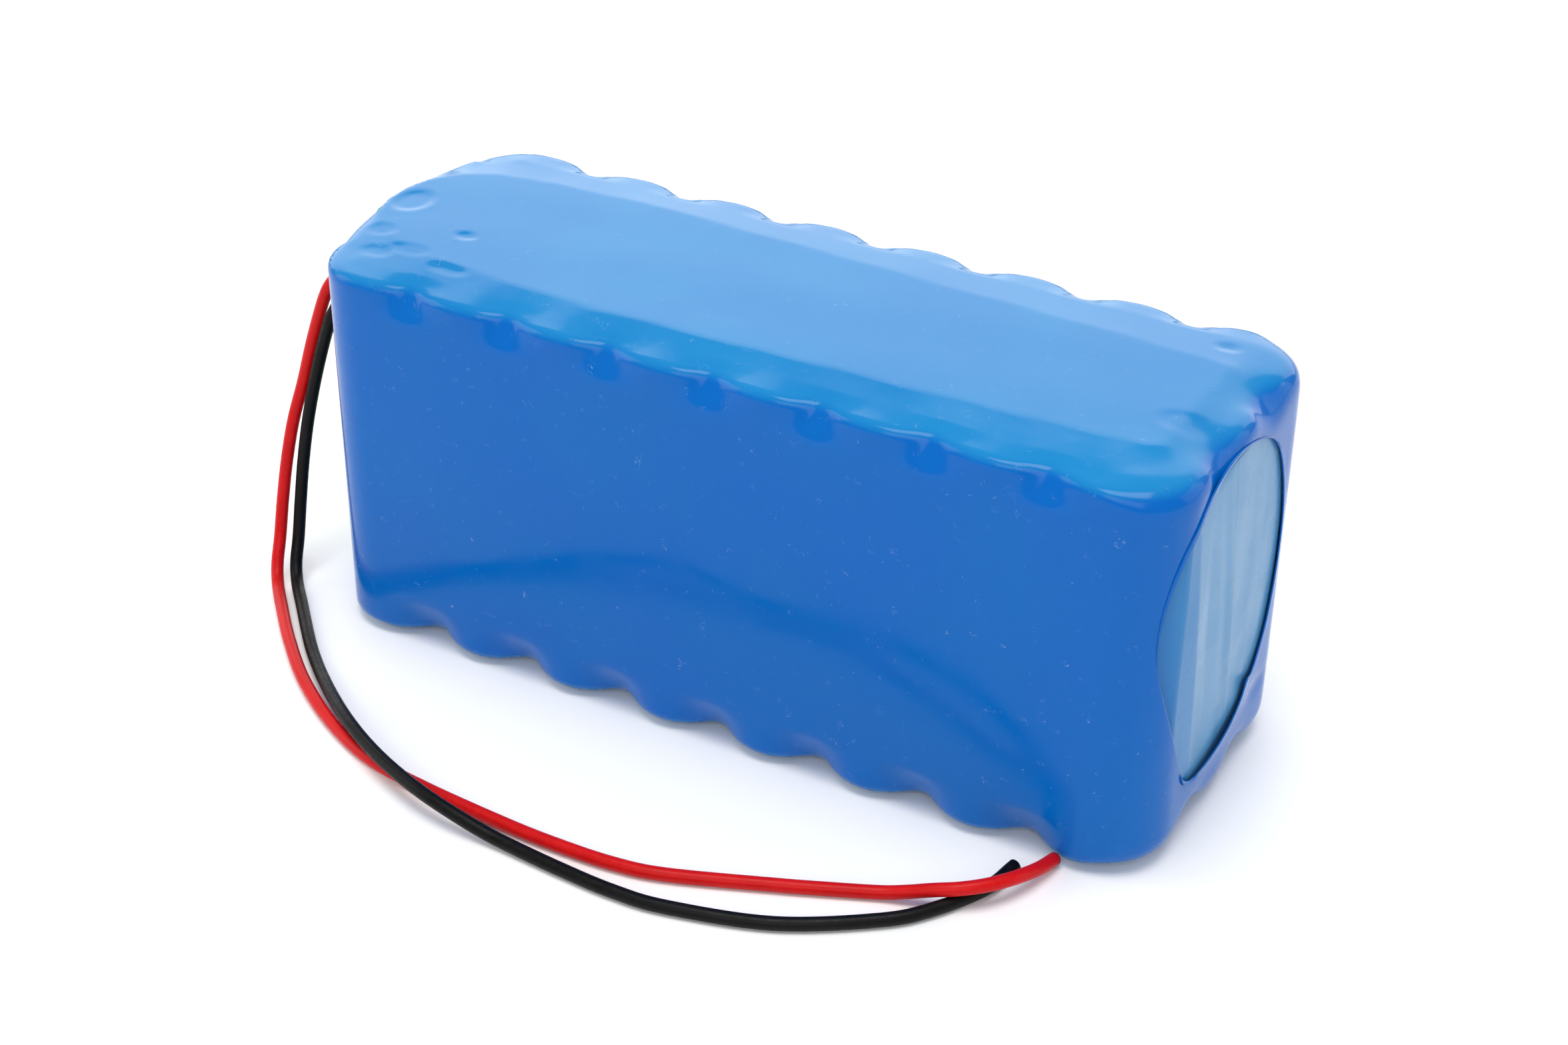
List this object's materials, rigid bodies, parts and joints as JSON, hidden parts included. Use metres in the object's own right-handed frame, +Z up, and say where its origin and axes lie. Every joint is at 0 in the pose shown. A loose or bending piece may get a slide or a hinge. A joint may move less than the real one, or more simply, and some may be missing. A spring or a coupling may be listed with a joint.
{
  "type": "battery pack",
  "caption": "Block-shaped rechargeable battery pack of upright round cells in a glossy blue heat-shrink sleeve, with a red and a black lead hanging from one end.",
  "frame": {"origin": "on the surface the pack stands on, under the middle of the sleeve, leads left out", "axes": "+X along the pack's long side away from the end where the leads come out, +Y across the three rows of cells towards the side away from the free ends of the leads, +Z up along the cells"},
  "size_m": [0.17, 0.0995, 0.0688],
  "materials": {
    "sleeve_film": "glossy heat-shrink film",
    "wrap_film": "satin film",
    "cell_wrapper": "satin cell wrapper",
    "nickel": "bright rolled strip",
    "barley_paper": "matte insulating paper",
    "circuit_board": "solder mask",
    "chip_body": "moulded epoxy",
    "shunt_metal": "plated alloy",
    "red_insulation": "semi-gloss insulation",
    "black_insulation": "semi-gloss insulation"
  },
  "bodies": {
    "root": {"cell_row1_1": "cell_wrapper", "cell_row1_2": "cell_wrapper", "cell_row1_3": "cell_wrapper", "cell_row1_4": "cell_wrapper", "cell_row1_5": "cell_wrapper", "cell_row1_6": "cell_wrapper", "cell_row1_7": "cell_wrapper", "cell_row1_8": "cell_wrapper", "cell_row2_1": "cell_wrapper", "cell_row2_2": "cell_wrapper", "cell_row2_3": "cell_wrapper", "cell_row2_4": "cell_wrapper", "cell_row2_5": "cell_wrapper", "cell_row2_6": "cell_wrapper", "cell_row2_7": "cell_wrapper", "cell_row2_8": "cell_wrapper", "cell_row3_1": "cell_wrapper", "cell_row3_2": "cell_wrapper", "cell_row3_3": "cell_wrapper", "cell_row3_4": "cell_wrapper", "cell_row3_5": "cell_wrapper", "cell_row3_6": "cell_wrapper", "cell_row3_7": "cell_wrapper", "cell_row3_8": "cell_wrapper", "nickel_negative_plate": "nickel", "nickel_first_series_plate": "nickel", "nickel_second_series_plate": "nickel", "nickel_positive_plate": "nickel", "top_paper": "barley_paper", "bottom_paper": "barley_paper", "left_end_paper": "barley_paper", "right_end_paper": "barley_paper", "board_cover_paper": "barley_paper", "power_transistor_1": "chip_body", "power_transistor_2": "chip_body", "power_transistor_3": "chip_body", "power_transistor_4": "chip_body", "protection_chip": "chip_body", "balance_resistor_1": "chip_body", "balance_resistor_2": "chip_body", "balance_resistor_3": "chip_body", "current_shunt": "shunt_metal", "protection_circuit_board": "circuit_board", "inner_wrap": "wrap_film", "shrink_sleeve": "sleeve_film", "red_lead": "red_insulation", "black_lead": "black_insulation"}
  },
  "joints": []
}
